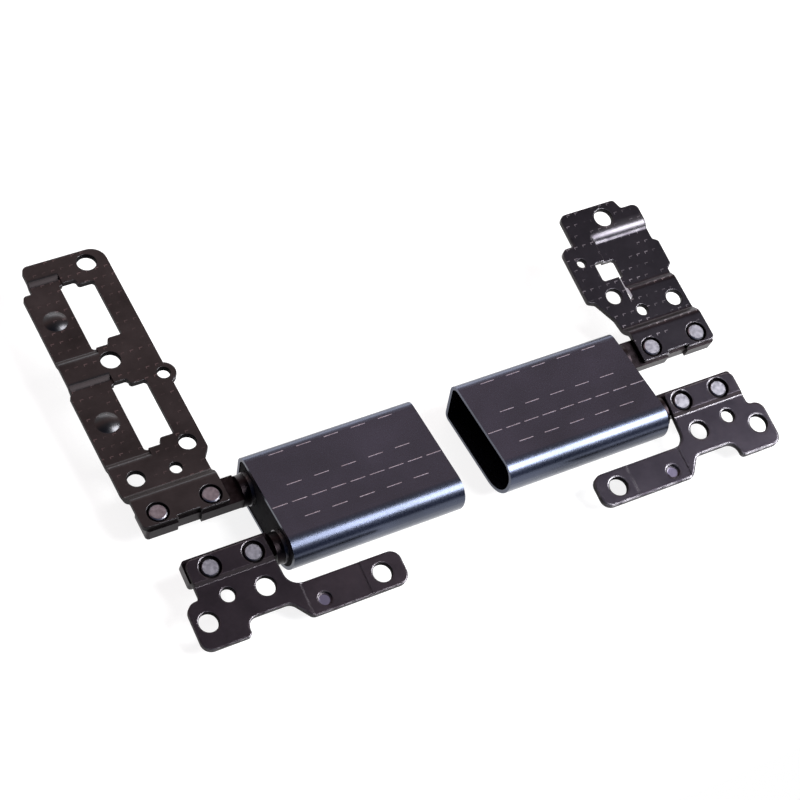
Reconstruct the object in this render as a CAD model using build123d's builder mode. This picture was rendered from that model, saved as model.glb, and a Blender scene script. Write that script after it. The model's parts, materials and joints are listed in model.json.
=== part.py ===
from build123d import *
import os

# Pair of two-shaft friction hinges for a slim convertible laptop, in millimetres.
# X runs along the shafts, Y from the keyboard side to the screen side, Z up from the bench.
# A hinge is drawn with its mouth in the plane x = 0, its brackets at +X and its sleeve at -X.
# What turns is drawn about its own shaft axis, with the bracket lying flat.

# Pair
sleeve_gap = 7.0
left_lid_rest = 3.9  # degrees turned from flat, far edge up
right_lid_rest = 14.9
base_rest = 14.65
travel = 90.0  # degrees each shaft turns both ways from flat

# Sleeve
sleeve_length = 25.3
sleeve_width = 17.2
sleeve_height = 7.5
sleeve_wall = 0.5
top_back_radius = 1.8
bottom_back_radius = 0.9
top_front_radius = 2.5
bottom_front_radius = 4.9

# Clearances
running_clearance = 0.03  # radial, journals in the fixed plates
key_clearance = 0.03
seat_clearance = 0.03  # plates in the sleeve
rivet_clearance = 0.04
axial_play = 0.02  # between what turns and what stands
stop_clearance = 0.1

# Shafts
shaft_spacing = 10.1
shaft_offset = 0.2  # their middle lies behind the sleeve's centre line
journal_diameter = 3.0
key_width = 2.3
collar_diameter = 4.4
collar_length = 1.1
lid_tongue_front = 2.0  # from the axis towards the keyboard side
tongue_back = 2.2
tongue_top = 1.0
tongue_thickness = 1.8
tongue_corner = 0.5
lid_tongue_end = 15.4
base_tongue_end = 13.6

# Plates and friction stack, from the mouth inwards
mouth_recess = 0.1
mouth_plate_thickness = 1.1
stop_plate_thickness = 1.0
stack_count = 3
friction_plate_thickness = 0.4
friction_disc_thickness = 0.4
friction_disc_diameter = 4.8
spring_count = 4
spring_diameter = 4.6
spring_thickness = 0.3
spring_rise = 0.25
pressure_washer_thickness = 0.5
pressure_washer_diameter = 4.6
nut_thickness = 2.0
nut_flats = 4.4
shaft_tail = 0.6
thrust_washer_thickness = 0.5
thrust_washer_diameter = 4.7
tie_pin_diameter = 1.2
tie_pin_spacing = 3.6

# Travel stops
cam_diameter = 4.0
lug_radius = 2.7
lug_half_angle = 25.0
stop_margin = 1.5  # degrees left at each end of the travel

# Brackets
sheet = 0.8
bend_radius = 0.9  # of the sheet's middle
lid_strip_front = -1.75  # from the shaft axis, negative towards the keyboard side
lid_strip_back = 2.95
lid_joggle_run = 1.1
lid_joggle_drop = 1.2
lid_strip_inner = 3.4
front_notch_start = 7.6
front_notch_end = 10.9
front_notch_depth = 0.4
sharp_corner = 0.2
small_corner = 0.4
step_corner = 0.6
round_corner = 1.0
wide_corner = 1.5
sweep_corner = 2.0

# Rivets
lid_rivet_inner = 5.5  # outwards from the mouth
lid_rivet_outer = 13.05
base_rivet_inner = 4.3
base_rivet_outer = 10.4
rivet_shank = 1.5
rivet_head = 2.4
rivet_head_chamfer = 0.15
rivet_pocket = 3.0
rivet_pocket_depth = 0.45
lid_head_height = 0.5
base_head_height = 0.33
rivet_tail = 2.3
rivet_tail_height = 0.35

# Screw and locating holes that both lid brackets share, x outwards and y from the lid shaft
inner_screw = (4.54, 9.4)
outer_screw = (13.24, 6.45)
locating = (7.66, 6.15)
screw_hole = 2.45
locating_hole = 1.75

# Left lid bracket
long_inner = 2.3
long_band_outer = 14.3
long_upper_outer = 15.78
long_lower_outer = 16.14
long_strip_outer = 15.75
long_top = 44.4
long_top_corner = 2.3
long_band_depth = 4.55  # the narrower band along the top edge
long_jog = 21.9
long_jog_run = 0.4
long_hip = 5.0
long_shoulder = 7.65
long_shoulder_run = 1.45
long_top_screw_x = 5.29
long_top_screw_inset = 2.2  # below the top edge
long_middle_screw = (8.79, 25.45)
long_screw_hole = 2.8
ear_hole_place = (2.91, 20.95)
ear_hole = 1.85
ear_radius = 1.75
window_inner = 5.58
window_step = 7.87
window_outer = 10.3
window_corner = 0.45
upper_window_start = 28.05
upper_window_inset = 4.45
lower_window = (10.35, 21.8)
window_setback = 1.0  # of the window's inner half, at both ends
pad_inner = 9.8
pad_drop = 0.4
pad_run = 0.7
upper_pad_start = 27.0
upper_pad_inset = 2.65
lower_pad = (9.1, 23.5)
dome_x = 13.12
dome_radius = 1.7
dome_height = 0.4

# Right lid bracket
short_inner = 0.3
short_head_inner = 2.55
short_waist_inner = 2.95
short_outer = 15.05
short_pad_outer = 15.85
short_strip_outer = 15.35
short_top = 23.75
short_corner_top = 22.2
short_corner_x = 12.4
short_corner_run = 0.6
short_head_end = 18.6
short_heel = 9.7
short_heel_run = 1.1
short_heel_drop = 0.5
short_waist = 6.0
tab_lead = 0.8
tab_start = 11.2
tab_start_ramp = 0.7
tab_end = 16.4
tab_end_ramp = 0.5
short_top_screw = (9.05, 21.56)
short_screw_hole = 2.8
short_pin_place = (2.34, 15.76)
short_pin_hole = 1.4
square_window_x = (4.15, 7.8)
square_window_y = (12.05, 15.1)
slit_x = 7.0
slit_width = 0.55
slit_end = 8.7
deep_pad_inner = 5.9
deep_pad_drop = 0.7
deep_pad_run = 0.75
deep_pad = (9.6, 19.2)

# Base brackets, y negative towards the keyboard side
base_strip_back = 1.75
base_strip_inner = 2.2
base_strip_outer = 13.4
base_step_y = -1.5
base_step_run = 0.3
base_step_drop = 0.15
base_step_radius = 0.6
base_step_clearance = 0.25  # between the step and the tongue's front edge
base_inner = 1.7
base_neck = -3.65
base_foot_outer = 15.55
base_foot_inner = 8.85
base_foot_front = -10.45
base_bay_front = -8.1
base_arm_root = 2.4
base_arm_shoulder = 0.4
base_arm_back = -6.0
base_arm_front = -10.8
base_arm_tip = -13.8
arm_screw = (-10.6, -8.45)
web_screw = (4.6, -4.85)
foot_screw = (13.5, -6.8)
base_screw_hole = 2.7
base_locating = (9.7, -4.25)
base_locating_hole = 2.0
base_pin_place = (-2.0, -9.05)
base_pin_hole = 1.9
base_pin_depth = 0.4
coined_start = -8.2
coined_end = 0.3
coined_depth = 0.08

# Places worked out from the sizes above
axis_height = sleeve_height / 2
lid_axis_y = shaft_offset + shaft_spacing / 2
base_axis_y = shaft_offset - shaft_spacing / 2
strip_top = tongue_top + sheet
strip_middle = tongue_top + sheet / 2
lid_plate_middle = strip_middle - lid_joggle_drop
base_plate_middle = strip_middle - base_step_drop
base_tongue_front = -base_step_y - base_step_clearance
lid_rivets_at = [(lid_rivet_inner, 0), (lid_rivet_outer, 0)]
base_rivets_at = [(base_rivet_inner, 0), (base_rivet_outer, 0)]
long_band_start = long_top - long_band_depth
long_top_screw = (long_top_screw_x, long_top - long_top_screw_inset)
upper_window = (upper_window_start, long_top - upper_window_inset)
upper_pad = (upper_pad_start, long_top - upper_pad_inset)
mouth_face = -mouth_recess
stop_face = mouth_face - mouth_plate_thickness
stack_face = stop_face - stop_plate_thickness
stack_pitch = friction_plate_thickness + friction_disc_thickness
spring_face = stack_face - stack_count * stack_pitch
spring_pitch = spring_thickness + spring_rise
pressure_face = spring_face - spring_count * spring_pitch
nut_face = pressure_face - pressure_washer_thickness
shaft_end = nut_face - nut_thickness - shaft_tail
collar_face = mouth_face + thrust_washer_thickness
tongue_start = collar_face + collar_length
plate_inset = sleeve_wall + seat_clearance
reach = 4 * sleeve_height  # taller than any bracket, for cuts right through


def sleeve_corners(inset):
    """Corners of the sleeve's section, moved inwards, from the lower front one round."""
    half = sleeve_width / 2 - inset
    top = sleeve_height - inset
    return [(-half, inset), (half, inset), (half, top), (-half, top)]


def sleeve_radii(inset):
    """Radii of the same corners."""
    radii = (bottom_front_radius, bottom_back_radius, top_back_radius, top_front_radius)
    return [radius - inset for radius in radii]


def make_sleeve():
    """Folded tube, open at both ends."""
    with BuildPart() as sleeve:
        with BuildSketch(Plane.YZ.offset(-sleeve_length)):
            with BuildLine():
                FilletPolyline(*sleeve_corners(0), radius=sleeve_radii(0), close=True)
            make_face()
            with BuildLine():
                FilletPolyline(*sleeve_corners(sleeve_wall), radius=sleeve_radii(sleeve_wall), close=True)
            make_face(mode=Mode.SUBTRACT)
        extrude(amount=sleeve_length)
    return sleeve.part


def make_fixed_plate(face, thickness):
    """Plate that fills the sleeve and has a bore for each shaft and each tie pin."""
    with BuildPart() as plate:
        with BuildSketch(Plane.YZ.offset(face)):
            with BuildLine():
                FilletPolyline(*sleeve_corners(plate_inset), radius=sleeve_radii(plate_inset), close=True)
            make_face()
            with Locations((lid_axis_y, axis_height), (base_axis_y, axis_height)):
                Circle(journal_diameter / 2 + running_clearance, mode=Mode.SUBTRACT)
            with Locations((shaft_offset, axis_height)):
                with GridLocations(0, tie_pin_spacing, 1, 2):
                    Circle(tie_pin_diameter / 2 + seat_clearance, mode=Mode.SUBTRACT)
        extrude(amount=-thickness)
    return plate.part


def make_stop_plate():
    """Plate with a window round each stop cam, wide where the lug swings."""
    swing = travel + lug_half_angle + stop_margin
    blank = make_fixed_plate(stop_face, stop_plate_thickness)
    with BuildPart() as plate:
        add(blank)
        for axis_y, lug_angle in ((lid_axis_y, 180), (base_axis_y, 0)):
            with BuildSketch(Plane.YZ.offset(stop_face)):
                with Locations((axis_y, axis_height)):
                    Circle(cam_diameter / 2 + stop_clearance)
                with BuildLine():
                    centre = Vector(axis_y, axis_height)
                    arc = CenterArc(centre, lug_radius + stop_clearance, lug_angle - swing, 2 * swing)
                    Polyline(arc @ 1, centre, arc @ 0)
                make_face()
            extrude(amount=-stop_plate_thickness, mode=Mode.SUBTRACT)
    return plate.part


def make_friction_plates():
    """Fixed plates of the friction stack."""
    faces = [stack_face - index * stack_pitch for index in range(stack_count)]
    blanks = [make_fixed_plate(face, friction_plate_thickness) for face in faces]
    with BuildPart() as plates:
        add(blanks)
    return plates.part


def make_tie_pins():
    """Two pins through the mouth plate, the stop plate and every friction plate."""
    length = mouth_face - spring_face - friction_disc_thickness
    with BuildPart() as pins:
        with BuildSketch(Plane.YZ.offset(mouth_face)):
            with Locations((shaft_offset, axis_height)):
                with GridLocations(0, tie_pin_spacing, 1, 2):
                    Circle(tie_pin_diameter / 2)
        extrude(amount=-length)
    return pins.part


def make_shaft(tongue_end, tongue_front, rivet_places, notched):
    """Shaft with a keyed tail, a round journal, a collar and a flat tongue for the bracket."""
    with BuildPart() as shaft:
        with BuildSketch(Plane.YZ.offset(shaft_end)):
            Circle(journal_diameter / 2)
            Rectangle(journal_diameter, key_width, mode=Mode.INTERSECT)
        extrude(amount=stop_face - shaft_end)
        with BuildSketch(Plane.YZ.offset(stop_face)):
            Circle(journal_diameter / 2)
        extrude(amount=collar_face - stop_face)
        with BuildSketch(Plane.YZ.offset(collar_face)):
            Circle(collar_diameter / 2)
        extrude(amount=collar_length)
        with BuildSketch(Plane.XY.offset(tongue_top)):
            with Locations((tongue_start, -tongue_front)):
                blank = Rectangle(tongue_end - tongue_start, tongue_front + tongue_back, align=Align.MIN)
            fillet(blank.vertices().group_by(Axis.X)[-1], tongue_corner)
            if notched:
                with Locations((front_notch_start, -tongue_front)):
                    Rectangle(
                        front_notch_end - front_notch_start,
                        front_notch_depth,
                        align=Align.MIN,
                        mode=Mode.SUBTRACT,
                    )
            with Locations(*rivet_places):
                Circle(rivet_shank / 2 + rivet_clearance, mode=Mode.SUBTRACT)
        extrude(amount=-tongue_thickness)
    return shaft.part


def make_rivets(rivet_places, head_height):
    """Rivets with a flat head in the bracket's pocket and a tail under the tongue."""
    seat = strip_top - rivet_pocket_depth
    tongue_bottom = tongue_top - tongue_thickness
    with BuildPart() as rivets:
        with Locations(*rivet_places):
            with Locations((0, 0, seat)):
                Cylinder(rivet_head / 2, head_height, align=(Align.CENTER, Align.CENTER, Align.MIN))
        chamfer(rivets.edges().group_by(Axis.Z)[-1], rivet_head_chamfer)
        with Locations(*rivet_places):
            with Locations((0, 0, tongue_bottom)):
                Cylinder(rivet_shank / 2, seat - tongue_bottom, align=(Align.CENTER, Align.CENTER, Align.MIN))
                Cylinder(rivet_tail / 2, rivet_tail_height, align=(Align.CENTER, Align.CENTER, Align.MAX))
    return rivets.part


def make_thrust_washer():
    """Washer between the shaft's collar and the mouth plate."""
    with BuildPart() as washer:
        with BuildSketch(Plane.YZ.offset(mouth_face + axial_play)):
            Circle(thrust_washer_diameter / 2)
            Circle(journal_diameter / 2 + running_clearance, mode=Mode.SUBTRACT)
        extrude(amount=thrust_washer_thickness - axial_play)
    return washer.part


def make_keyed_disc(diameter, face, thickness):
    """Disc that the two flats of the shaft turn."""
    with BuildPart() as disc:
        with BuildSketch(Plane.YZ.offset(face)):
            Circle(diameter / 2)
        extrude(amount=-thickness)
        with BuildSketch(Plane.YZ.offset(face)):
            Circle(journal_diameter / 2 + key_clearance)
            Rectangle(diameter, key_width + 2 * key_clearance, mode=Mode.INTERSECT)
        extrude(amount=-thickness, mode=Mode.SUBTRACT)
    return disc.part


def make_stop_cam(lug_angle):
    """Keyed disc with a lug that meets the stop plate at both ends of the travel."""
    face = stop_face - axial_play
    thickness = stop_plate_thickness - 2 * axial_play
    with BuildPart() as cam:
        with BuildSketch(Plane.YZ.offset(face)):
            Circle(cam_diameter / 2)
            with BuildLine():
                arc = CenterArc((0, 0), lug_radius, lug_angle - lug_half_angle, 2 * lug_half_angle)
                Polyline(arc @ 1, (0, 0), arc @ 0)
            make_face()
        extrude(amount=-thickness)
        with BuildSketch(Plane.YZ.offset(face)):
            Circle(journal_diameter / 2 + key_clearance)
            Rectangle(cam_diameter, key_width + 2 * key_clearance, mode=Mode.INTERSECT)
        extrude(amount=-thickness, mode=Mode.SUBTRACT)
    return cam.part


def make_friction_discs():
    """Keyed discs of the friction stack, each between two fixed plates or a plate and the springs."""
    first = stack_face - friction_plate_thickness - axial_play
    thickness = friction_disc_thickness - 2 * axial_play
    faces = [first - index * stack_pitch for index in range(stack_count)]
    blanks = [make_keyed_disc(friction_disc_diameter, face, thickness) for face in faces]
    with BuildPart() as discs:
        add(blanks)
    return discs.part


def make_disc_springs():
    """Coned spring washers in series, every second one turned round."""
    bore = journal_diameter / 2 + key_clearance
    rim = spring_diameter / 2
    with BuildPart() as springs:
        for index in range(spring_count):
            near = spring_face + axial_play - index * spring_pitch
            inner = near if index % 2 else near - spring_rise
            outer = near - spring_rise if index % 2 else near
            with BuildSketch(Plane.XZ):
                with BuildLine():
                    Polyline(
                        (inner, bore),
                        (outer, rim),
                        (outer - spring_thickness, rim),
                        (inner - spring_thickness, bore),
                        close=True,
                    )
                make_face()
            revolve(axis=Axis.X)
    return springs.part


def make_lock_nut():
    """Hexagon nut on the shaft's tail."""
    with BuildPart() as nut:
        with BuildSketch(Plane.YZ.offset(nut_face + axial_play)):
            RegularPolygon(nut_flats / 2, 6, major_radius=False)
            Circle(journal_diameter / 2 + key_clearance, mode=Mode.SUBTRACT)
        extrude(amount=-nut_thickness)
    return nut.part


def make_rivet_pockets(rivet_places):
    """What is cut out of a bracket's strip for its rivets: shank holes and pockets for the heads."""
    with BuildPart() as pockets:
        with BuildSketch(Plane.XY.offset(tongue_top)):
            with Locations(*rivet_places):
                Circle(rivet_shank / 2 + rivet_clearance)
        extrude(amount=sheet)
        with BuildSketch(Plane.XY.offset(strip_top)):
            with Locations(*rivet_places):
                Circle(rivet_pocket / 2)
        extrude(amount=-rivet_pocket_depth)
    return pockets.part


def make_front_notch():
    """What is cut out of a lid bracket's front edge between its rivets."""
    with BuildPart() as notch:
        with BuildSketch(Plane.XY.offset(tongue_top)):
            with Locations((front_notch_start, lid_strip_front)):
                Rectangle(front_notch_end - front_notch_start, front_notch_depth, align=Align.MIN)
        extrude(amount=sheet)
    return notch.part


def make_sheet(slices, radius, outline, holes):
    """Pressed sheet: bent strips side by side along X, trimmed to the outline and drilled.

    A slice is where it starts and ends along X and the bend points (y, z) of its middle surface.
    The outline has its corners as x, y and corner radius. A hole is its place and its diameter.
    """
    corners = [(x, y) for x, y, corner in outline]
    corner_radii = [corner for x, y, corner in outline]
    with BuildPart() as pressed:
        for start, end, bends in slices:
            with BuildSketch(Plane.YZ.offset(start)):
                with BuildLine():
                    FilletPolyline(*bends, radius=radius)
                trace(line_width=sheet)
            extrude(amount=end - start)
        with BuildSketch():
            with BuildLine():
                FilletPolyline(*corners, radius=corner_radii, close=True)
            make_face()
            for place, diameter in holes:
                with Locations(place):
                    Circle(diameter / 2, mode=Mode.SUBTRACT)
        extrude(amount=reach, both=True, mode=Mode.INTERSECT)
    return pressed.part


def lid_bends(top, *pads):
    """Bend points of a lid bracket: rivet strip, joggle, hole plate and any pads (start, end, drop, run)."""
    points = [
        (lid_strip_front - sheet, strip_middle),
        (lid_strip_back, strip_middle),
        (lid_strip_back + lid_joggle_run, lid_plate_middle),
    ]
    for start, end, drop, run in pads:
        floor = lid_plate_middle - drop
        points.append((start, lid_plate_middle))
        points.append((start + run, floor))
        points.append((end - run, floor))
        points.append((end, lid_plate_middle))
    points.append((top + sheet, lid_plate_middle))
    return points


def make_dome(pad, pad_top):
    """Round dome in the middle of a pad, with a root inside the sheet."""
    ball_radius = (dome_radius**2 + dome_height**2) / (2 * dome_height)
    with BuildPart() as dome:
        with BuildSketch(Plane.XZ):
            with BuildLine():
                crown = RadiusArc((dome_radius, 0), (0, dome_height), -ball_radius)
                Polyline(crown @ 1, (0, -sheet / 2), (dome_radius, -sheet / 2), crown @ 0)
            make_face()
        revolve(axis=Axis.Z)
    return dome.part.moved(Location((dome_x, sum(pad) / 2, pad_top)))


def make_left_lid_bracket():
    """Long bracket with two windows, two depressed pads with domes and an ear."""
    outline = [
        (lid_strip_inner, lid_strip_front, small_corner),
        (long_strip_outer, lid_strip_front, step_corner),
        (long_strip_outer, lid_strip_back, step_corner),
        (long_lower_outer, long_hip, round_corner),
        (long_lower_outer, long_jog, sharp_corner),
        (long_upper_outer, long_jog + long_jog_run, sharp_corner),
        (long_upper_outer, long_band_start, step_corner),
        (long_band_outer, long_band_start, small_corner),
        (long_band_outer, long_top, round_corner),
        (long_inner, long_top, long_top_corner),
        (long_inner, long_shoulder, round_corner),
        (lid_strip_inner, long_shoulder - long_shoulder_run, step_corner),
    ]
    holes = [
        (inner_screw, screw_hole),
        (outer_screw, screw_hole),
        (locating, locating_hole),
        (long_top_screw, long_screw_hole),
        (long_middle_screw, long_screw_hole),
    ]
    pads = [(*lower_pad, pad_drop, pad_run), (*upper_pad, pad_drop, pad_run)]
    slices = [
        (long_inner - ear_radius, pad_inner, lid_bends(long_top)),
        (pad_inner, long_lower_outer + sheet, lid_bends(long_top, *pads)),
    ]
    pad_top = lid_plate_middle - pad_drop + sheet / 2
    pressed = make_sheet(slices, bend_radius, outline, holes)
    domes = [make_dome(pad, pad_top) for pad in (upper_pad, lower_pad)]
    hollows = [make_dome(pad, pad_top - sheet) for pad in (upper_pad, lower_pad)]
    front_cuts = [make_front_notch(), make_rivet_pockets(lid_rivets_at)]
    with BuildPart() as bracket:
        add(pressed)
        with Locations((*ear_hole_place, lid_plate_middle)):
            Cylinder(ear_radius, sheet)
            Cylinder(ear_hole / 2, sheet, mode=Mode.SUBTRACT)
        for start, end in (upper_window, lower_window):
            with BuildSketch():
                with BuildLine():
                    FilletPolyline(
                        (window_inner, start + window_setback),
                        (window_step, start + window_setback),
                        (window_step, start),
                        (window_outer, start),
                        (window_outer, end),
                        (window_step, end),
                        (window_step, end - window_setback),
                        (window_inner, end - window_setback),
                        radius=window_corner,
                        close=True,
                    )
                make_face()
            extrude(amount=reach, both=True, mode=Mode.SUBTRACT)
        add(domes)
        add(hollows, mode=Mode.SUBTRACT)
        add(front_cuts, mode=Mode.SUBTRACT)
    return bracket.part


def make_right_lid_bracket():
    """Short stepped bracket with a square window, a slit and a deep pressed pad."""
    outline = [
        (lid_strip_inner, lid_strip_front, small_corner),
        (short_strip_outer, lid_strip_front, step_corner),
        (short_outer, tab_start - tab_lead, step_corner),
        (short_outer, tab_start, small_corner),
        (short_pad_outer, tab_start + tab_start_ramp, small_corner),
        (short_pad_outer, tab_end - tab_end_ramp, step_corner),
        (short_outer, tab_end, small_corner),
        (short_outer, short_corner_top, round_corner),
        (short_corner_x, short_corner_top, small_corner),
        (short_corner_x - short_corner_run, short_top, step_corner),
        (short_head_inner, short_top, round_corner),
        (short_head_inner, short_head_end, step_corner),
        (short_inner, short_head_end, round_corner),
        (short_inner, short_heel, step_corner),
        (short_inner + short_heel_run, short_heel - short_heel_drop, step_corner),
        (short_waist_inner, short_waist, round_corner),
        (lid_strip_inner, lid_strip_back, small_corner),
    ]
    holes = [
        (inner_screw, screw_hole),
        (outer_screw, screw_hole),
        (locating, locating_hole),
        (short_top_screw, short_screw_hole),
        (short_pin_place, short_pin_hole),
    ]
    pad_start, pad_end = deep_pad
    window_middle = sum(square_window_y) / 2
    window_pad = (window_middle - deep_pad_run, pad_end, deep_pad_drop, deep_pad_run)
    whole_pad = (pad_start, pad_end, deep_pad_drop, deep_pad_run)
    slices = [
        (short_inner - sheet, deep_pad_inner, lid_bends(short_top)),
        (deep_pad_inner, slit_x, lid_bends(short_top, window_pad)),
        (slit_x, short_pad_outer + sheet, lid_bends(short_top, whole_pad)),
    ]
    pressed = make_sheet(slices, bend_radius, outline, holes)
    front_cuts = [make_front_notch(), make_rivet_pockets(lid_rivets_at)]
    with BuildPart() as bracket:
        add(pressed)
        with BuildSketch():
            with Locations((sum(square_window_x) / 2, window_middle)):
                RectangleRounded(
                    square_window_x[1] - square_window_x[0],
                    square_window_y[1] - square_window_y[0],
                    window_corner,
                )
            with Locations((slit_x, (slit_end + square_window_y[0]) / 2)):
                Rectangle(slit_width, square_window_y[0] - slit_end + 2 * window_corner)
        extrude(amount=reach, both=True, mode=Mode.SUBTRACT)
        add(front_cuts, mode=Mode.SUBTRACT)
    return bracket.part


def make_base_bracket():
    """Flat bracket with a shallow step, a foot and an arm that runs along the sleeve's nose."""
    outline = [
        (base_strip_inner, base_strip_back, small_corner),
        (base_strip_outer, base_strip_back, round_corner),
        (base_strip_outer, base_neck, step_corner),
        (base_foot_outer, base_neck, wide_corner),
        (base_foot_outer, base_foot_front, wide_corner),
        (base_foot_inner, base_foot_front, step_corner),
        (base_foot_inner, base_bay_front, wide_corner),
        (base_arm_root, base_bay_front, wide_corner),
        (base_arm_shoulder, base_arm_front, round_corner),
        (base_arm_tip, base_arm_front, wide_corner),
        (base_arm_tip, base_arm_back, wide_corner),
        (base_inner, base_arm_back, sweep_corner),
    ]
    holes = [
        (arm_screw, base_screw_hole),
        (web_screw, base_screw_hole),
        (foot_screw, base_screw_hole),
        (base_locating, base_locating_hole),
    ]
    bends = [
        (base_strip_back + sheet, strip_middle),
        (base_step_y, strip_middle),
        (base_step_y - base_step_run, base_plate_middle),
        (base_arm_front - sheet, base_plate_middle),
    ]
    slices = [(base_arm_tip - sheet, base_foot_outer + sheet, bends)]
    plate_top = base_plate_middle + sheet / 2
    pressed = make_sheet(slices, base_step_radius, outline, holes)
    pockets = make_rivet_pockets(base_rivets_at)
    with BuildPart() as bracket:
        add(pressed)
        with BuildSketch(Plane.XY.offset(plate_top)):
            with Locations(((coined_start + coined_end) / 2, (base_arm_back + base_arm_front) / 2)):
                Rectangle(coined_end - coined_start, base_arm_back - base_arm_front)
        extrude(amount=-coined_depth, mode=Mode.SUBTRACT)
        with BuildSketch(Plane.XY.offset(plate_top)):
            with Locations(base_pin_place):
                Circle(base_pin_hole / 2)
        extrude(amount=-base_pin_depth, mode=Mode.SUBTRACT)
        add(pockets, mode=Mode.SUBTRACT)
    return bracket.part


def make_shaft_pieces(tongue_end, tongue_front, rivet_places, head_height, lug_angle, notched):
    """Every piece that turns with a shaft, apart from its bracket."""
    return {
        "shaft": make_shaft(tongue_end, tongue_front, rivet_places, notched),
        "rivets": make_rivets(rivet_places, head_height),
        "thrust_washer": make_thrust_washer(),
        "stop_cam": make_stop_cam(lug_angle),
        "friction_discs": make_friction_discs(),
        "disc_springs": make_disc_springs(),
        "pressure_washer": make_keyed_disc(
            pressure_washer_diameter, pressure_face + axial_play, pressure_washer_thickness
        ),
        "lock_nut": make_lock_nut(),
    }


fixed_pieces = {
    "sleeve": make_sleeve(),
    "mouth_plate": make_fixed_plate(mouth_face, mouth_plate_thickness),
    "stop_plate": make_stop_plate(),
    "friction_plates": make_friction_plates(),
    "tie_pins": make_tie_pins(),
}
lid_pieces = make_shaft_pieces(
    lid_tongue_end, lid_tongue_front, lid_rivets_at, lid_head_height, lug_angle=180, notched=True
)
base_pieces = make_shaft_pieces(
    base_tongue_end, base_tongue_front, base_rivets_at, base_head_height, lug_angle=0, notched=False
)
base_pieces["bracket"] = make_base_bracket()
lid_brackets = {"left": make_left_lid_bracket(), "right": make_right_lid_bracket()}
lid_rests = {"left": left_lid_rest, "right": right_lid_rest}
mouth_x = sleeve_gap / 2 + sleeve_length


def turned(piece, axis_y, rest):
    """A piece of a shaft, turned to its rest angle and put on its axis."""
    return piece.rotate(Axis.X, rest).moved(Location((0, axis_y, axis_height)))


placed = {}
for side in ("left", "right"):
    hinge = dict(fixed_pieces)
    for name, piece in {**lid_pieces, "bracket": lid_brackets[side]}.items():
        hinge["lid_" + name] = turned(piece, lid_axis_y, lid_rests[side])
    for name, piece in base_pieces.items():
        hinge["base_" + name] = turned(piece, base_axis_y, base_rest)
    for name, piece in hinge.items():
        moved = piece.moved(Location((mouth_x, 0, 0)))
        placed[f"{side}_{name}"] = mirror(moved, about=Plane.YZ) if side == "left" else moved

# The origin is the middle of the whole pair's box, on the bench.
boxes = [piece.bounding_box() for piece in placed.values()]
middle_x = (min(box.min.X for box in boxes) + max(box.max.X for box in boxes)) / 2
middle_y = (min(box.min.Y for box in boxes) + max(box.max.Y for box in boxes)) / 2
bench_z = min(box.min.Z for box in boxes)
origin = Location((-middle_x, -middle_y, -bench_z))

os.makedirs("parts", exist_ok=True)
for name, piece in placed.items():
    node = piece.moved(origin)
    node.label = name
    export_step(node, f"parts/{name}.step")
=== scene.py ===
# %% [markdown]
# A laptop hinge pair: two friction hinges that lie end to end, each with a slate-coloured steel sleeve, a lid
# bracket on its rear shaft and a base bracket on its front shaft. The solids come from the frame with every piece
# in its place, in metres, so nothing has to be fitted here. This script gives them their finishes, adds the fine
# lines that a solid is too coarse for, and sets up the light and the camera.

# %% Load the frame
import bmesh
import bpy
import json
from math import cos, pi, radians, sin
from mathutils import Matrix, Vector


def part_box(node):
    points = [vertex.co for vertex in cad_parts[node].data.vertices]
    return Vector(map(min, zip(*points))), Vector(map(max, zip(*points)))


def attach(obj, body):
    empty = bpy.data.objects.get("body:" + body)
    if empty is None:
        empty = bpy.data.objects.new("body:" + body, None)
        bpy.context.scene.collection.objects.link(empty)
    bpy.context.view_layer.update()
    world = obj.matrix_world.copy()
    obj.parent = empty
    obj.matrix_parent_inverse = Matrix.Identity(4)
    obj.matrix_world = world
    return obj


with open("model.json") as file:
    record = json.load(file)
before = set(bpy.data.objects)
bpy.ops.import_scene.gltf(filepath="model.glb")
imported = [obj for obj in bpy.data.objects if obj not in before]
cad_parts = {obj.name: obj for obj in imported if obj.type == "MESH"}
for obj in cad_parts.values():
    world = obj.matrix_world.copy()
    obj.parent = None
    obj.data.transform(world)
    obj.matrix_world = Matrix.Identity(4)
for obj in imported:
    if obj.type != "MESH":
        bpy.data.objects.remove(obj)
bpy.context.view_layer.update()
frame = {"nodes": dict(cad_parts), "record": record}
MM = 0.001

# %% [markdown]
# The photograph was taken from the front left, half way up, with a long lens that was turned a little about its
# own line of sight. A camera could be aimed with a Track To constraint, but that keeps it level, so its matrix is
# put together from its own right, up and back directions. It aims at a place given from the middle of the two
# sleeves, so it follows them if the pair is built in another place.

# %% Camera
AZIMUTH = radians(36.01)
ELEVATION = radians(50.26)
ROLL = radians(-10.74)
LENS = 103.4
DISTANCE = 311.7 * MM
NEAREST = 10 * MM
AIM_FROM_SLEEVES = Vector((-4.73, 8.43, 7.5)) * MM

sleeve_corners = [*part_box("left_sleeve"), *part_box("right_sleeve")]
sleeves_middle = sum(sleeve_corners, Vector()) / len(sleeve_corners)
aim = Vector((sleeves_middle.x, sleeves_middle.y, 0)) + AIM_FROM_SLEEVES
look = Vector((sin(AZIMUTH) * cos(ELEVATION), cos(AZIMUTH) * cos(ELEVATION), -sin(ELEVATION)))
level_right = Vector((cos(AZIMUTH), -sin(AZIMUTH), 0))
level_down = look.cross(level_right)
right = cos(ROLL) * level_right + sin(ROLL) * level_down
down = cos(ROLL) * level_down - sin(ROLL) * level_right

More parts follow.
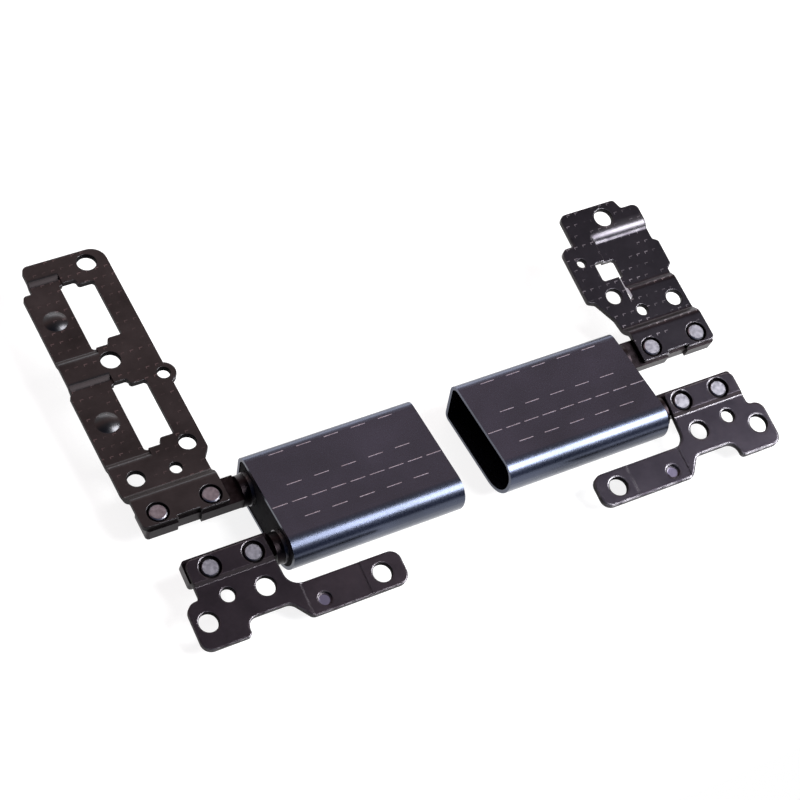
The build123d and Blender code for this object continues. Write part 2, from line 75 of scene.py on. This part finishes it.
camera = bpy.data.objects.new("camera", bpy.data.cameras.new("camera"))
camera.data.lens = LENS
camera.data.clip_start = NEAREST
turn = Matrix((right, -down, -look)).transposed().to_4x4()
camera.matrix_world = Matrix.Translation(aim - look * DISTANCE) @ turn
bpy.context.scene.collection.objects.link(camera)
bpy.context.scene.camera = camera
print("camera at", [round(v / MM, 1) for v in camera.matrix_world.translation], "mm")

# %% [markdown]
# Plated steel shows what it mirrors, so the light is laid out by what each face sees. The flat tops mirror the
# ceiling behind the hinges, which is dim. The round noses of the sleeves mirror the front: a softbox high up
# makes the bright band, the dark wall the blue one below it, and the white bench the pale one at the bottom.
# A second, weaker softbox low at the back draws the pale line along the rear bend of the sleeves. Both hang with
# their width along the sleeves, so that a band keeps its place from end to end. Lamp power comes from the
# brightness that the lamp's face should have, which is power over pi and area. Sizes are in metres.

# %% Light
def softbox(name, direction, distance, width, height, brightness):
    lamp = bpy.data.lights.new(name, "AREA")
    lamp.shape = "RECTANGLE"
    lamp.size = width
    lamp.size_y = height
    lamp.energy = brightness * pi * width * height
    toward = Vector(direction).normalized()
    along = Vector((1, 0, 0)) - toward * toward.x
    along.normalize()
    turn = Matrix((along, toward.cross(along), toward)).transposed().to_4x4()
    holder = bpy.data.objects.new(name, lamp)
    holder.matrix_world = Matrix.Translation(aim + toward * distance) @ turn
    bpy.context.scene.collection.objects.link(holder)
    return lamp


key = softbox("key_softbox", direction=(0.655, -0.42, 0.63), distance=0.50,
              width=0.42, height=0.28, brightness=24.0)
rim = softbox("rim_softbox", direction=(0.37, 0.90, 0.24), distance=0.60,
              width=0.60, height=0.22, brightness=2.4)
print("lamps:", round(key.energy, 2), "W and", round(rim.energy, 2), "W")

# %% [markdown]
# Colours are written as the hex values a paint chart or a picture editor shows, which are in sRGB, while shaders
# count in linear light. One function turns the first into the second. Another adds a shader node with its
# settings, and links or sets its inputs. Four more stand on it, so that each finish below reads as a list of what
# it is made of: a Math node, a value stretched from one range to another, a ramp of colours, and a colour laid
# over another where a mask says so.

# %% Colour and node helpers
def linear(chart):
    parts = [int(chart[i:i + 2], 16) / 255 for i in (1, 3, 5)]
    return (*[p / 12.92 if p <= 0.04045 else ((p + 0.055) / 1.055) ** 2.4 for p in parts], 1.0)


def put(tree, kind, inputs=None, **settings):
    node = tree.nodes.new("ShaderNode" + kind)
    for name, value in settings.items():
        setattr(node, name, value)
    for socket, value in (inputs or {}).items():
        if isinstance(value, bpy.types.NodeSocket):
            tree.links.new(value, node.inputs[socket])
        else:
            node.inputs[socket].default_value = value
    return node


def calc(tree, operation, *values):
    return put(tree, "Math", dict(enumerate(values)), operation=operation).outputs[0]


def stretch(tree, value, start, end, low=0.0, high=1.0):
    inputs = {"Value": value, "From Min": start, "From Max": end, "To Min": low, "To Max": high}
    return put(tree, "MapRange", inputs).outputs["Result"]


def ramp(tree, value, *stops):
    node = put(tree, "ValToRGB", {"Fac": value})
    elements = node.color_ramp.elements
    while len(elements) < len(stops):
        elements.new(0.5)
    for element, (position, chart) in zip(elements, stops):
        element.position = position
        element.color = linear(chart)
    return node.outputs["Color"]


def over(tree, mask, under, chart):
    inputs = {0: mask, 6: under, 7: linear(chart)}
    return put(tree, "Mix", inputs, data_type="RGBA").outputs[2]


print("the chart's mid grey in linear light:", round(linear("#808080")[0], 3))

# %% [markdown]
# The room around the bench is a gradient: a dark blue wall in front of the hinges, a dim warm ceiling and a white
# wall at the far side. A Background node could hold one colour, but then the sleeves would be as bright at their
# noses as on their tops, so the colour follows how far a ray's direction points to the far side. The camera itself
# sees plain white past the bench's edge, as in the photograph.

# %% Room
WHITE = "#ffffff"
# Place between the front, 0, and the far side, 1, with its colour.
ROOM_COLOURS = [(0.05, "#33446e"), (0.32, "#424960"), (0.60, "#8b858a"), (0.76, "#f2c6bd"), (1.0, WHITE)]

world = bpy.data.worlds.new("room")
world.use_nodes = True
room = world.node_tree
room.nodes.clear()
direction = put(room, "TexCoord").outputs["Generated"]
far_side = stretch(room, put(room, "SeparateXYZ", {"Vector": direction}).outputs["Y"], -1.0, 1.0)
walls = ramp(room, far_side, *ROOM_COLOURS)
to_camera = put(room, "LightPath").outputs["Is Camera Ray"]
background = put(room, "Background", {"Color": over(room, to_camera, walls, WHITE), "Strength": 1.0})
put(room, "OutputWorld", {"Surface": background.outputs["Background"]})
bpy.context.scene.world = world
bpy.context.scene.view_settings.view_transform = "Standard"
print("room colours:", len(ROOM_COLOURS))

# %% [markdown]
# The bench is a white sheet of card that ends a little in front of the hinges, where the sleeves' noses start to
# mirror the dark room. The photograph has it bleached to plain white, so what the camera and mirror rays see of it
# gets some light of its own, while lamps and shadows still fall on it as on any matt card.

# %% Bench
CARD_FRONT = 0.065
CARD_HALF = 1.0
CARD_GLOW = 0.85
CARD_GREY = "#8c8c8c"

card = bpy.data.materials.new("white_card")
card.use_nodes = True
tree = card.node_tree
tree.nodes.clear()
ray = put(tree, "LightPath").outputs
mirrored = calc(tree, "ADD", ray["Is Camera Ray"], ray["Is Glossy Ray"])
seen = calc(tree, "ADD", mirrored, ray["Is Transmission Ray"])
glow = calc(tree, "MULTIPLY", seen, CARD_GLOW)
matt = put(tree, "BsdfDiffuse", {"Color": linear(CARD_GREY)})
bleach = put(tree, "Emission", {"Color": linear(WHITE), "Strength": glow})
both = put(tree, "AddShader", {0: matt.outputs[0], 1: bleach.outputs[0]})
put(tree, "OutputMaterial", {"Surface": both.outputs[0]})

shape = bmesh.new()
sheet = bmesh.ops.create_grid(shape, x_segments=1, y_segments=1, size=CARD_HALF)["verts"]
bmesh.ops.translate(shape, verts=sheet, vec=(aim.x, aim.y + CARD_HALF - CARD_FRONT, 0))
bench_mesh = bpy.data.meshes.new("bench")
shape.to_mesh(bench_mesh)
shape.free()
bench_mesh.materials.append(card)
bench = bpy.data.objects.new("bench", bench_mesh)
bpy.context.scene.collection.objects.link(bench)
print("bench faces:", len(bench_mesh.polygons))

# %% [markdown]
# Every finish starts and ends the same way. It starts with a new material that has one Principled shader, and a
# coordinate in millimetres. Object coordinates are used, because the pieces sit at the origin with their place in
# their mesh, so a pattern stays on its piece when the hinge turns. Scaled by a thousand they count in millimetres,
# so a pattern can be given its real size. It ends with links to the shader, where a fine grain also becomes a low
# bump.

# %% Start and end of a finish
GRAIN_DEPTH = 0.004


def start(name, metallic=1.0):
    finish = bpy.data.materials.new(name)
    finish.use_nodes = True
    tree = finish.node_tree
    shader = tree.nodes["Principled BSDF"]
    shader.inputs["Metallic"].default_value = metallic
    place = put(tree, "TexCoord").outputs
    inputs = {0: place["Object"], 1: (1 / MM,) * 3}
    in_mm = put(tree, "VectorMath", inputs, operation="MULTIPLY").outputs[0]
    return finish, tree, shader, place, in_mm


def noise(tree, in_mm, size, detail, **more):
    return put(tree, "TexNoise", {"Vector": in_mm, "Scale": 1 / size, "Detail": detail, **more}).outputs["Fac"]


def end(tree, shader, colour, dull, grain, strength, normal=None):
    inputs = {"Height": grain, "Strength": strength, "Distance": GRAIN_DEPTH * MM}
    if normal:
        inputs["Normal"] = normal
    bump = put(tree, "Bump", inputs).outputs["Normal"]
    for socket, value in (("Base Color", colour), ("Roughness", dull), ("Normal", bump)):
        tree.links.new(value, shader.inputs[socket])


print("a grain's bump is", GRAIN_DEPTH, "mm deep")

# %% [markdown]
# Sleeve: drawn steel tube with a black nickel coat. Black nickel is a metal, here dark with a cast of slate blue,
# and smooth enough to mirror a lamp as a soft band. The coat lies on tumbled steel, whose grain of about 0.3 mm
# makes the band sparkle. The grain is a noise that goes into the roughness and a low bump, and a slow cloud, some
# 8 mm across, shifts the colour, because no plating bath covers a tube evenly.

# %% Sleeve finish
GRAIN = 0.3
CLOUD = 8.0
SLEEVE_ROUGHNESS = (0.22, 0.36)
SLEEVE_BUMP = 0.15
SLEEVE_TINTS = [(0.35, "#414653"), (0.70, "#494e5e")]

sleeve_coat, tree, shader, place, in_mm = start("black_nickel_on_steel")
tint = ramp(tree, noise(tree, in_mm, CLOUD, 3.0), *SLEEVE_TINTS)
grain = noise(tree, in_mm, GRAIN, 2.0)
end(tree, shader, tint, stretch(tree, grain, 0.0, 1.0, *SLEEVE_ROUGHNESS), grain, SLEEVE_BUMP)
print(sleeve_coat.name, len(tree.nodes), "nodes")

# %% [markdown]
# Some places on the brackets have a look of their own, and most of them lie around a line: a hole, a rivet's
# pocket, a stamped mark or a dome. The frame's record lists every hole with its middle, axis and radius. The other
# places are given in millimetres from one of those holes, so that they follow the bracket. A point's distance from
# a line is the length of its cross product with the line's direction, which Vector Math nodes can work out.

# %% Places on the brackets
RIVET_HEAD = 1.2
RIVET_POCKET = 1.5
bores = {m["name"]: m for m in frame["record"]["mounts"]}


def beside(bore, x, y, z=0.0):
    return Vector(bores[bore]["pos_m"]) / MM + Vector((x, y, z))


def holes_of(body):
    own = [m for name, m in bores.items() if name.startswith(body)]
    holes = [(Vector(m["pos_m"]) / MM, m["dims"]["r_mm"]) for m in own]
    low, high = [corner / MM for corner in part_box(body + "_rivets")]
    middle = (low + high) / 2
    for x in (low.x + RIVET_HEAD, high.x - RIVET_HEAD):
        holes.append((Vector((x, middle.y, middle.z)), RIVET_POCKET))
    return own[0]["axis"], holes


def from_line(tree, in_mm, middle, axis):
    reach = put(tree, "VectorMath", {0: in_mm, 1: middle}, operation="SUBTRACT").outputs[0]
    across = put(tree, "VectorMath", {0: reach, 1: axis}, operation="CROSS_PRODUCT").outputs[0]
    return put(tree, "VectorMath", {0: across}, operation="LENGTH").outputs["Value"]


for body in ("left_lid", "right_lid", "left_base", "right_base"):
    print(body, "holes and pockets:", len(holes_of(body)[1]))

# %% [markdown]
# The lid brackets carry rows of small hooked impressions. They are a repeating cell with one short bar and one leg,
# each row set off from the last, and a noise wears some of them away. A mask like this is built from Math nodes
# that each say yes or no, multiplied where all must hold.

# %% Hooked impressions
CELL_X = 1.35
CELL_Y = 1.65
ROW_SHIFT = 0.35
# Middle and half size along the cell, then middle and half size across it, in cells.
HOOK_BAR = (0.50, 0.20, 0.60, 0.04)
HOOK_LEG = (0.34, 0.04, 0.52, 0.10)
HOOK_KEPT = (0.40, 0.65)


def block(tree, u, v, middle_u, half_u, middle_v, half_v):
    within_u = calc(tree, "COMPARE", u, middle_u, half_u)
    return calc(tree, "MULTIPLY", within_u, calc(tree, "COMPARE", v, middle_v, half_v))


def hooks(tree, in_mm, axes):
    along_y = calc(tree, "DIVIDE", axes["Y"], CELL_Y)
    along_x = calc(tree, "DIVIDE", axes["X"], CELL_X)
    row = calc(tree, "FLOOR", along_y)
    u = calc(tree, "FRACT", calc(tree, "MULTIPLY_ADD", row, ROW_SHIFT, along_x))
    v = calc(tree, "FRACT", along_y)
    hook = calc(tree, "MAXIMUM", block(tree, u, v, *HOOK_BAR), block(tree, u, v, *HOOK_LEG))
    kept = stretch(tree, noise(tree, in_mm, 2 * CELL_X, 1.0), *HOOK_KEPT)
    return calc(tree, "MULTIPLY", hook, kept)


print("one hook in every", CELL_X, "x", CELL_Y, "mm")

# %% [markdown]
# Other masks on the brackets follow the press tool. Bends and cut walls are found by how upright their normal
# stands. The press leaves every edge a little round, which the Bevel node shows without a change to the solid.
# Where that node turns the normal from the true one, the edge is painted paler, as wear that differs from place to
# place and as a painted highlight of the front lamp, so it is strongest on edges that face the front. The rolled
# bend of the right lid bracket gets a wide painted highlight that fades towards its left end. The walls of the slit
# beside it are painted pale, as painted light. The two domes on the left lid bracket are steeper at their foot than
# a plain ball, so a bump bends their normals a little further out. Sizes are in millimetres, and a pair of numbers
# says where a mask starts and where it is full.

# %% Masks on the brackets
WALL_UPRIGHT = (0.45, 0.30)
BEND_UPRIGHT = (0.955, 0.935)
FLAT_UPRIGHT = (0.950, 0.964)
DOME = 1.7
DOME_RIM = 0.01
DOME_STEEPER = 0.16
ROLL_HALF = 1.1
ROLL_CORE = 0.2
# strength of the painted highlight on the rolled bend, as a share of pale steel
ROLL_PAINTED_HIGHLIGHT = 0.14
ROLL_FADE = 3.0
EDGE_TURN = (0.999, 0.97)
SMEAR = 1.6
SMEAR_RUB = (0.30, 0.55)
# edges that face the front get the full painted highlight, those that face back only a share
FRONT_FACING = (0.0, -0.4)
BACK_SHARE = 0.3
HOLE_MARGIN = 0.05
SLIT_HALF = (0.36, 1.75)


def steeper_domes(tree, in_mm, axis, domes):
    height, beyond = 0.0, 1.0
    for middle in domes:
        away = calc(tree, "MINIMUM", from_line(tree, in_mm, middle, axis), DOME)
        square = calc(tree, "MULTIPLY", away, away)
        height = calc(tree, "MULTIPLY_ADD", square, -DOME_STEEPER / (2 * DOME), height)
        beyond = calc(tree, "MULTIPLY", beyond, calc(tree, "GREATER_THAN", away, DOME - DOME_RIM))
    return height, beyond


# painted highlight: a pale band along the rolled bend that fades towards its left end
def rolled_bend(tree, axes, roll):
    near = calc(tree, "COMPARE", axes["Y"], roll.y, ROLL_HALF)
    away = calc(tree, "ABSOLUTE", calc(tree, "SUBTRACT", axes["Y"], roll.y))
    across = stretch(tree, away, ROLL_HALF, ROLL_CORE, high=ROLL_PAINTED_HIGHLIGHT)
    along = stretch(tree, axes["X"], roll.x, roll.x + ROLL_FADE)
    return near, calc(tree, "MULTIPLY", across, along)


# edge wear and painted highlight: edges paler where the Bevel normal turns, most on front-facing edges that mirror
# the key lamp
def edge_wear_and_sheen(tree, in_mm, soft, wear_and_sheen):
    true = put(tree, "NewGeometry").outputs["Normal"]
    same = put(tree, "VectorMath", {0: soft, 1: true}, operation="DOT_PRODUCT").outputs["Value"]
    rub = stretch(tree, noise(tree, in_mm, SMEAR, 2.0), *SMEAR_RUB, high=wear_and_sheen)
    wear_and_sheen_mask = calc(tree, "MULTIPLY", stretch(tree, same, *EDGE_TURN), rub)
    turned = put(tree, "VectorTransform", {0: soft},
                 vector_type="NORMAL", convert_from="WORLD", convert_to="OBJECT")
    facing = put(tree, "SeparateXYZ", {"Vector": turned.outputs[0]}).outputs["Y"]
    return calc(tree, "MULTIPLY", wear_and_sheen_mask, stretch(tree, facing, *FRONT_FACING, low=BACK_SHARE))


def inside_holes(tree, in_mm, axis, holes):
    inside = 0.0
    for middle, radius in holes:
        near = calc(tree, "LESS_THAN", from_line(tree, in_mm, middle, axis), radius + HOLE_MARGIN)
        inside = calc(tree, "MAXIMUM", inside, near)
    return inside


# painted light: the walls around the slit are laid pale
def lit_slit_walls(tree, axes, slit, wall):
    near_x = calc(tree, "COMPARE", axes["X"], slit.x, SLIT_HALF[0])
    near_y = calc(tree, "COMPARE", axes["Y"], slit.y, SLIT_HALF[1])
    return calc(tree, "MULTIPLY", calc(tree, "MULTIPLY", near_x, near_y), wall)


print("a rolled bend is", 2 * ROLL_HALF, "mm wide, a dome", 2 * DOME, "mm")

# %% [markdown]
# Brackets: pressed sheet steel, blackened in a hot oxide bath. The oxide is thin and brown-black with a satin
# shine. Cut walls and the inside of holes and rivet pockets are painted near black as painted shade, and holes are
# duller as well. On the brackets given a slope colour the bends are duller and painted darker as painted shade, but
# the rolled one is not. Each base bracket has a round mark stamped to a paler ground. Baths and wear differ, so
# each bracket has its own two tones of oxide, radius of edge, and amount of edge wear, which also sets the painted
# highlight on its edges. Layers lie over each other in the order in which they are laid.

# %% Bracket finish
OXIDE_LOW, OXIDE_HIGH = 0.32, 0.68
OXIDE_CLOUD = {"Roughness": 0.65}
BRACKET_ROUGHNESS = (0.27, 0.33)
DULLER = 0.3
BRACKET_BUMP = 0.2
EDGE_SAMPLES = 4
ROLL_ROUND = 0.70
MARK = 0.75
MARK_TINT = "#5d586a"
# painted shade: colour laid on every upright cut wall
WALL_PAINTED_SHADE = "#171415"
# painted shade inside holes and rivet pockets
HOLE_PAINTED_SHADE = "#100e10"
# pale steel for worn edges, also used as painted highlight on front edges and on the rolled bend
BARE_STEEL_AND_SHEEN = "#9d9ba0"
# painted light on the walls around the slit
SLIT_PAINTED_LIGHT = "#aca8b0"


def blackened_steel(body, light, dark, edge, wear_and_sheen, bend_shade=None, hook=None, mark=None, domes=(),
                    roll=None, slit=None):
    finish, tree, shader, place, in_mm = start("blackened_steel_" + body)
    axis, holes = holes_of(body)
    axes = put(tree, "SeparateXYZ", {"Vector": in_mm}).outputs
    lean = put(tree, "SeparateXYZ", {"Vector": place["Normal"]}).outputs
    upright = calc(tree, "ABSOLUTE", lean["Z"])
    wall = stretch(tree, upright, *WALL_UPRIGHT)
    height, beyond = steeper_domes(tree, in_mm, axis, domes)
    bend = calc(tree, "MULTIPLY", stretch(tree, upright, *BEND_UPRIGHT), beyond)

    cloud = noise(tree, in_mm, CLOUD, 6.0, **OXIDE_CLOUD)
    colour = ramp(tree, cloud, (OXIDE_LOW, dark), (OXIDE_HIGH, light))
    grain = noise(tree, in_mm, GRAIN, 2.0)
    dull = stretch(tree, grain, 0.0, 1.0, *BRACKET_ROUGHNESS)
    # painted shade: bends darkened by the given colour, and made duller
    if bend_shade:
        colour = over(tree, bend, colour, bend_shade)
        dull = calc(tree, "MULTIPLY_ADD", bend, DULLER, dull)
    if mark:
        stamped = calc(tree, "LESS_THAN", from_line(tree, in_mm, mark, axis), MARK)
        colour = over(tree, stamped, colour, MARK_TINT)
    if hook:
        first, tint = hook
        past = calc(tree, "GREATER_THAN", axes["Y"], first)
        level = calc(tree, "MULTIPLY", past, calc(tree, "SUBTRACT", 1.0, bend))
        colour = over(tree, calc(tree, "MULTIPLY", hooks(tree, in_mm, axes), level), colour, tint)
    # painted shade on the cut walls, chosen by how upright the normal stands
    colour = over(tree, wall, colour, WALL_PAINTED_SHADE)

    radius = edge * MM
    if roll:
        near, roll_highlight = rolled_bend(tree, axes, roll)
        radius = calc(tree, "MULTIPLY_ADD", near, (ROLL_ROUND - edge) * MM, edge * MM)
        # painted highlight on the rolled bend
        colour = over(tree, roll_highlight, colour, BARE_STEEL_AND_SHEEN)
    soft = put(tree, "Bevel", {"Radius": radius}, samples=EDGE_SAMPLES).outputs["Normal"]
    # worn edges together with a painted edge highlight
    wear_and_sheen_mask = edge_wear_and_sheen(tree, in_mm, soft, wear_and_sheen)
    if bend_shade:
        flat = stretch(tree, upright, *FLAT_UPRIGHT)
        wear_and_sheen_mask = calc(tree, "MULTIPLY", wear_and_sheen_mask, calc(tree, "MAXIMUM", flat, wall))
    colour = over(tree, wear_and_sheen_mask, colour, BARE_STEEL_AND_SHEEN)

    # painted shade inside holes and rivet pockets, which are also made duller
    inside = inside_holes(tree, in_mm, axis, holes)
    colour = over(tree, inside, colour, HOLE_PAINTED_SHADE)
    dull = calc(tree, "MULTIPLY_ADD", inside, DULLER, dull)
    if slit:
        # painted light on the walls around the slit
        colour = over(tree, lit_slit_walls(tree, axes, slit, wall), colour, SLIT_PAINTED_LIGHT)

    normal = soft
    if domes:
        inputs = {"Height": height, "Normal": soft, "Strength": 1.0, "Distance": MM}
        normal = put(tree, "Bump", inputs).outputs["Normal"]
    end(tree, shader, colour, dull, grain, BRACKET_BUMP, normal)
    return finish


# The first row of hooks, from the bracket's front edge.
left_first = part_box("left_lid_bracket")[0].y / MM + 6.0
right_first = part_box("right_lid_bracket")[0].y / MM + 2.0
left_domes = [beside("left_lid_top_screw", -7.83, -7.81, -0.53),
              beside("left_lid_middle_screw", -4.33, -9.13, -0.62)]
right_roll = beside("right_lid_top_screw", -3.15, -2.10)
right_slit = beside("right_lid_top_screw", -2.05, -10.81)
left_mark = beside("left_base_arm_screw", -8.70, -0.66, -0.17)
right_mark = beside("right_base_arm_screw", 8.50, -0.66, -0.17)
# the wear amount of each bracket also sets the strength of its painted edge highlight
bracket_coats = {
    "left_lid_bracket": blackened_steel(
        "left_lid", light="#414144", dark="#2f2f31", edge=0.22, wear_and_sheen=0.12, bend_shade="#2e2a2b",
        hook=(left_first, "#655e62"), domes=left_domes),
    "right_lid_bracket": blackened_steel(
        "right_lid", light="#343137", dark="#28262b", edge=0.25, wear_and_sheen=0.25,
        hook=(right_first, "#857f86"), roll=right_roll, slit=right_slit),
    "left_base_bracket": blackened_steel(
        "left_base", light="#3c353b", dark="#2d282d", edge=0.32, wear_and_sheen=0.35, bend_shade="#1c191b", mark=left_mark),
    "right_base_bracket": blackened_steel(
        "right_base", light="#38343b", dark="#2a272e", edge=0.45, wear_and_sheen=0.60, bend_shade="#1c191b", mark=right_mark),
}
print("bracket finishes:", {name: len(coat.node_tree.nodes) for name, coat in bracket_coats.items()})

# %% [markdown]
# The small steel pieces differ in how they were made. Rivet heads are spun over bright steel, the shafts are
# hardened and black, the mouth plates and tie pins have a matt black oxide that mirrors little, the plates and
# discs inside are ground and oiled, the disc springs are tempered to a straw brown and the lock nuts are zinc
# plated. The last finish is for the bright lines on the sleeves. They share one recipe, with their own colour,
# roughness and grain, so one function holds it.

# %% Small steel pieces
STEEL_LOW, STEEL_HIGH = 0.30, 0.70
STEEL_SPREAD = 0.08
STEEL_BUMP = 0.2
MOUTH_SPECULAR = 0.1


def worked_steel(name, light, dark, roughness, grain_mm, metallic=1.0):
    finish, tree, shader, place, in_mm = start(name, metallic)
    grain = noise(tree, in_mm, grain_mm, 3.0)
    tint = ramp(tree, grain, (STEEL_LOW, dark), (STEEL_HIGH, light))
    dull = stretch(tree, grain, 0.0, 1.0, roughness - STEEL_SPREAD, roughness + STEEL_SPREAD)
    end(tree, shader, tint, dull, grain, STEEL_BUMP)
    return finish


rivet_steel = worked_steel("spun_bright_steel", "#8f8e97", "#74737c", 0.34, 0.5)
shaft_steel = worked_steel("hardened_black_steel", "#262124", "#1a1618", 0.40, 0.6)
mouth_steel = worked_steel("matt_black_oxide", "#16151a", "#0e0d11", 0.8, 0.8, metallic=0.0)
mouth_shader = mouth_steel.node_tree.nodes["Principled BSDF"]
mouth_shader.inputs["Specular IOR Level"].default_value = MOUTH_SPECULAR
plate_steel = worked_steel("ground_oiled_steel", "#8b898c", "#6f6d71", 0.36, 0.4)
spring_steel = worked_steel("tempered_spring_steel", "#6b5f4d", "#4d4439", 0.32, 0.5)
nut_zinc = worked_steel("zinc_plated_steel", "#b4b8bd", "#979ba2", 0.40, 0.4)
line_steel = worked_steel("bright_engraved_steel", "#b2afba", "#93909b", 0.42, 0.4)
small_steels = (rivet_steel, shaft_steel, mouth_steel, plate_steel, spring_steel, nut_zinc, line_steel)
print("small steel finishes:", [steel.name for steel in small_steels])

# %% [markdown]
# Each node of the frame keeps its solid and only gets its finish. The name of a node ends with the kind of piece it
# is, so the finish is looked up by that ending. The pieces that no ending names are plates, discs and washers.

# %% Dress the solids
finish_by_kind = {
    "_sleeve": sleeve_coat,
    "_rivets": rivet_steel,
    "_shaft": shaft_steel,
    "_mouth_plate": mouth_steel,
    "_tie_pins": mouth_steel,
    "_disc_springs": spring_steel,
    "_lock_nut": nut_zinc,
}
for name, node in frame["nodes"].items():
    kinds = [k for k in finish_by_kind if name.endswith(k)]
    finish = bracket_coats.get(name) or (finish_by_kind[kinds[0]] if kinds else plate_steel)
    node.data.materials.clear()
    node.data.materials.append(finish)
print("dressed nodes:", len(frame["nodes"]))

# %% [markdown]
# Four rows of short bright lines run along the top of each sleeve. They are too fine for the solid, only 0.11 mm
# wide. Each is a bar that is scaled from a cube, with its upright edges bevelled round, sunk into the tube so that
# only 0.01 mm stands out and takes its own light.

# %% Lines on the sleeves
LINE_WIDTH = 0.11
LINE_SINK = 0.04
LINE_PROUD = 0.01
LINE_ROUND = 0.05
# Distance behind the sleeve's middle line, how many, spacing and length, in millimetres.
LINE_ROWS = [
    (6.70, 5, 4.08, 2.15),
    (1.39, 5, 4.02, 2.20),
    (-1.34, 9, 2.85, 2.20),
    (-4.05, 5, 4.02, 2.25),
]


def sleeve_lines(side):
    low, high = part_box(side + "_sleeve")
    middle = (low + high) / 2
    height = high.z + (LINE_PROUD - LINE_SINK) / 2 * MM
    shape = bmesh.new()
    for back, count, spacing, length in LINE_ROWS:
        for i in range(count):
            along = (i - (count - 1) / 2) * spacing
            spot = (middle.x + along * MM, middle.y + back * MM, height)
            bar = bmesh.ops.create_cube(shape, size=MM)["verts"]
            bmesh.ops.scale(shape, verts=bar, vec=(length, LINE_WIDTH, LINE_SINK + LINE_PROUD))
            bmesh.ops.translate(shape, verts=bar, vec=spot)
    upright = [e for e in shape.edges if abs(e.verts[0].co.z - e.verts[1].co.z) > LINE_SINK * MM]
    bmesh.ops.bevel(shape, geom=upright, offset=LINE_ROUND * MM, affect="EDGES",
                    segments=2, profile=0.5, material=-1)
    mesh = bpy.data.meshes.new(side + "_sleeve_lines")
    shape.to_mesh(mesh)
    shape.free()
    mesh.materials.append(line_steel)
    lines = bpy.data.objects.new(mesh.name, mesh)
    bpy.context.scene.collection.objects.link(lines)
    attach(lines, "sleeves")
    return lines


for side in ("left", "right"):
    lines = sleeve_lines(side)
    print(lines.name, "faces:", len(lines.data.polygons))
